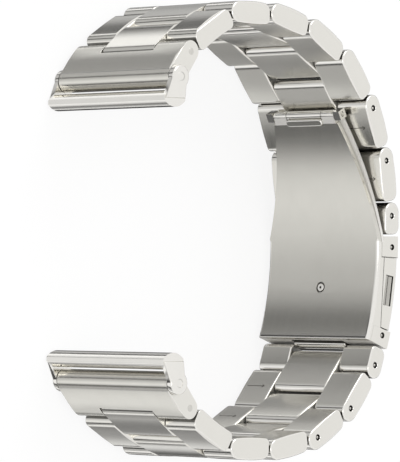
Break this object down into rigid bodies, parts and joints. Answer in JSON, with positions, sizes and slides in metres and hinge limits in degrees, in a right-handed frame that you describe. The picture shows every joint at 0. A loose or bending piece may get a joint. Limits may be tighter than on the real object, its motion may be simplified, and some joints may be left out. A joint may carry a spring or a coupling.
{
  "type": "link watch bracelet",
  "caption": "Steel three-row link watch bracelet with a folding clasp released by side buttons and slide-in adapters for the watch",
  "frame": {"origin": "on the resting plane, under the middle of the bracelet's box; the bracelet lies on its side, closed as worn", "axes": "+Z across the strap, along every pin; -Y towards the watch, +Y towards the clasp; -X is the half that carries the folding arm"},
  "size_m": [0.0657, 0.051, 0.024],
  "materials": {
    "satin_steel": "satin brushed, warm silver",
    "polished_steel": "polished, warm silver",
    "pin_steel": "ground, plain steel"
  },
  "bodies": {
    "clasp_plate_body": {"clasp_plate": "satin_steel", "plate_end_block": "satin_steel", "plate_end_pin": "pin_steel", "catch_post": "pin_steel", "hinge_pin": "pin_steel"},
    "folding_arm_body": {"folding_arm": "satin_steel", "arm_pin": "pin_steel", "latch_box": "satin_steel", "upper_button_spring": "pin_steel", "lower_button_spring": "pin_steel"},
    "upper_push_button_body": {"upper_push_button": "polished_steel"},
    "lower_push_button_body": {"lower_push_button": "polished_steel"},
    "upper_link_9_body": {"upper_link_9_sides": "satin_steel", "upper_link_9_centre": "satin_steel", "upper_link_9_pin": "pin_steel"},
    "upper_link_8_body": {"upper_link_8_sides": "satin_steel", "upper_link_8_centre": "satin_steel", "upper_link_8_pin": "pin_steel"},
    "upper_link_7_body": {"upper_link_7_sides": "satin_steel", "upper_link_7_centre": "satin_steel", "upper_link_7_pin": "pin_steel"},
    "upper_link_6_body": {"upper_link_6_sides": "satin_steel", "upper_link_6_centre": "satin_steel", "upper_link_6_pin": "pin_steel"},
    "upper_link_5_body": {"upper_link_5_sides": "satin_steel", "upper_link_5_centre": "satin_steel", "upper_link_5_pin": "pin_steel"},
    "upper_link_4_body": {"upper_link_4_sides": "satin_steel", "upper_link_4_centre": "satin_steel", "upper_link_4_pin": "pin_steel"},
    "upper_link_3_body": {"upper_link_3_sides": "satin_steel", "upper_link_3_centre": "satin_steel", "upper_link_3_pin": "pin_steel"},
    "upper_link_2_body": {"upper_link_2_sides": "satin_steel", "upper_link_2_centre": "satin_steel"},
    "upper_end_link_body": {"upper_end_link": "satin_steel", "upper_end_link_pin": "pin_steel"},
    "upper_adapter_body": {"upper_adapter": "polished_steel", "upper_bar_pin": "pin_steel"},
    "lower_link_7_body": {"lower_link_7_sides": "satin_steel", "lower_link_7_centre": "satin_steel", "lower_link_7_pin": "pin_steel"},
    "lower_link_6_body": {"lower_link_6_sides": "satin_steel", "lower_link_6_centre": "satin_steel", "lower_link_6_pin": "pin_steel"},
    "lower_link_5_body": {"lower_link_5_sides": "satin_steel", "lower_link_5_centre": "satin_steel", "lower_link_5_pin": "pin_steel"},
    "lower_link_4_body": {"lower_link_4_sides": "satin_steel", "lower_link_4_centre": "satin_steel", "lower_link_4_pin": "pin_steel"},
    "lower_link_3_body": {"lower_link_3_sides": "satin_steel", "lower_link_3_centre": "satin_steel", "lower_link_3_pin": "pin_steel"},
    "lower_link_2_body": {"lower_link_2_sides": "satin_steel", "lower_link_2_centre": "satin_steel"},
    "lower_end_link_body": {"lower_end_link": "satin_steel", "lower_end_link_pin": "pin_steel"},
    "lower_adapter_body": {"lower_adapter": "polished_steel", "lower_bar_pin": "pin_steel"}
  },
  "joints": [
    {"name": "clasp_arm_hinge", "type": "hinge", "parent": "clasp_plate_body", "child": "folding_arm_body", "pos_m": [-0.01744, 0.01694, 0.012], "axis": [0, 0, 1], "range_deg": [0, 85]},
    {"name": "upper_push_button_slide", "type": "slide", "parent": "folding_arm_body", "child": "upper_push_button_body", "axis": [0, 0, -1], "range_m": [0, 0.0008], "stiffness_N_per_m": 900, "springref_m": -0.0004, "deforming": ["upper_button_spring"]},
    {"name": "lower_push_button_slide", "type": "slide", "parent": "folding_arm_body", "child": "lower_push_button_body", "axis": [0, 0, 1], "range_m": [0, 0.0008], "stiffness_N_per_m": 900, "springref_m": -0.0004, "deforming": ["lower_button_spring"]},
    {"name": "upper_link_9_pivot", "type": "hinge", "parent": "folding_arm_body", "child": "upper_link_9_body", "pos_m": [0.00223, 0.02384, 0.012], "axis": [0, 0, -1], "range_deg": [0, 15]},
    {"name": "upper_link_8_pivot", "type": "hinge", "parent": "upper_link_9_body", "child": "upper_link_8_body", "pos_m": [-0.00242, 0.02384, 0.012], "axis": [0, 0, -1], "range_deg": [0, 20]},
    {"name": "upper_link_7_pivot", "type": "hinge", "parent": "upper_link_8_body", "child": "upper_link_7_body", "pos_m": [-0.01059, 0.02266, 0.012], "axis": [0, 0, -1], "range_deg": [0, 25]},
    {"name": "upper_link_6_pivot", "type": "hinge", "parent": "upper_link_7_body", "child": "upper_link_6_body", "pos_m": [-0.01828, 0.01969, 0.012], "axis": [0, 0, -1], "range_deg": [-8, 30]},
    {"name": "upper_link_5_pivot", "type": "hinge", "parent": "upper_link_6_body", "child": "upper_link_5_body", "pos_m": [-0.0248, 0.01464, 0.012], "axis": [0, 0, -1], "range_deg": [-15, 35]},
    {"name": "upper_link_4_pivot", "type": "hinge", "parent": "upper_link_5_body", "child": "upper_link_4_body", "pos_m": [-0.02904, 0.00756, 0.012], "axis": [0, 0, -1], "range_deg": [-20, 30]},
    {"name": "upper_link_3_pivot", "type": "hinge", "parent": "upper_link_4_body", "child": "upper_link_3_body", "pos_m": [-0.03107, -0.00044, 0.012], "axis": [0, 0, -1], "range_deg": [-20, 25]},
    {"name": "upper_link_2_pivot", "type": "hinge", "parent": "upper_link_3_body", "child": "upper_link_2_body", "pos_m": [-0.03115, -0.00869, 0.012], "axis": [0, 0, -1], "range_deg": [-15, 45]},
    {"name": "upper_end_link_pivot", "type": "hinge", "parent": "upper_link_2_body", "child": "upper_end_link_body", "pos_m": [-0.02515, -0.01908, 0.012], "axis": [0, 0, -1], "range_deg": [-20, 35]},
    {"name": "upper_adapter_pivot", "type": "hinge", "parent": "upper_end_link_body", "child": "upper_adapter_body", "pos_m": [-0.02151, -0.02206, 0.012], "axis": [0, 0, -1], "range_deg": [-15, 15]},
    {"name": "lower_link_7_pivot", "type": "hinge", "parent": "clasp_plate_body", "child": "lower_link_7_body", "pos_m": [0.01529, 0.02164, 0.012], "axis": [0, 0, -1], "range_deg": [-15, 10]},
    {"name": "lower_link_6_pivot", "type": "hinge", "parent": "lower_link_7_body", "child": "lower_link_6_body", "pos_m": [0.01966, 0.02005, 0.012], "axis": [0, 0, -1], "range_deg": [-35, 15]},
    {"name": "lower_link_5_pivot", "type": "hinge", "parent": "lower_link_6_body", "child": "lower_link_5_body", "pos_m": [0.02591, 0.01467, 0.012], "axis": [0, 0, -1], "range_deg": [-35, 15]},
    {"name": "lower_link_4_pivot", "type": "hinge", "parent": "lower_link_5_body", "child": "lower_link_4_body", "pos_m": [0.02994, 0.00747, 0.012], "axis": [0, 0, -1], "range_deg": [-35, 15]},
    {"name": "lower_link_3_pivot", "type": "hinge", "parent": "lower_link_4_body", "child": "lower_link_3_body", "pos_m": [0.03125, -0.00067, 0.012], "axis": [0, 0, -1], "range_deg": [-25, 20]},
    {"name": "lower_link_2_pivot", "type": "hinge", "parent": "lower_link_3_body", "child": "lower_link_2_body", "pos_m": [0.03095, -0.00892, 0.012], "axis": [0, 0, -1], "range_deg": [-40, 15]},
    {"name": "lower_end_link_pivot", "type": "hinge", "parent": "lower_link_2_body", "child": "lower_end_link_body", "pos_m": [0.02499, -0.01933, 0.012], "axis": [0, 0, -1], "range_deg": [-35, 20]},
    {"name": "lower_adapter_pivot", "type": "hinge", "parent": "lower_end_link_body", "child": "lower_adapter_body", "pos_m": [0.02142, -0.0224, 0.012], "axis": [0, 0, -1], "range_deg": [-15, 15]}
  ]
}
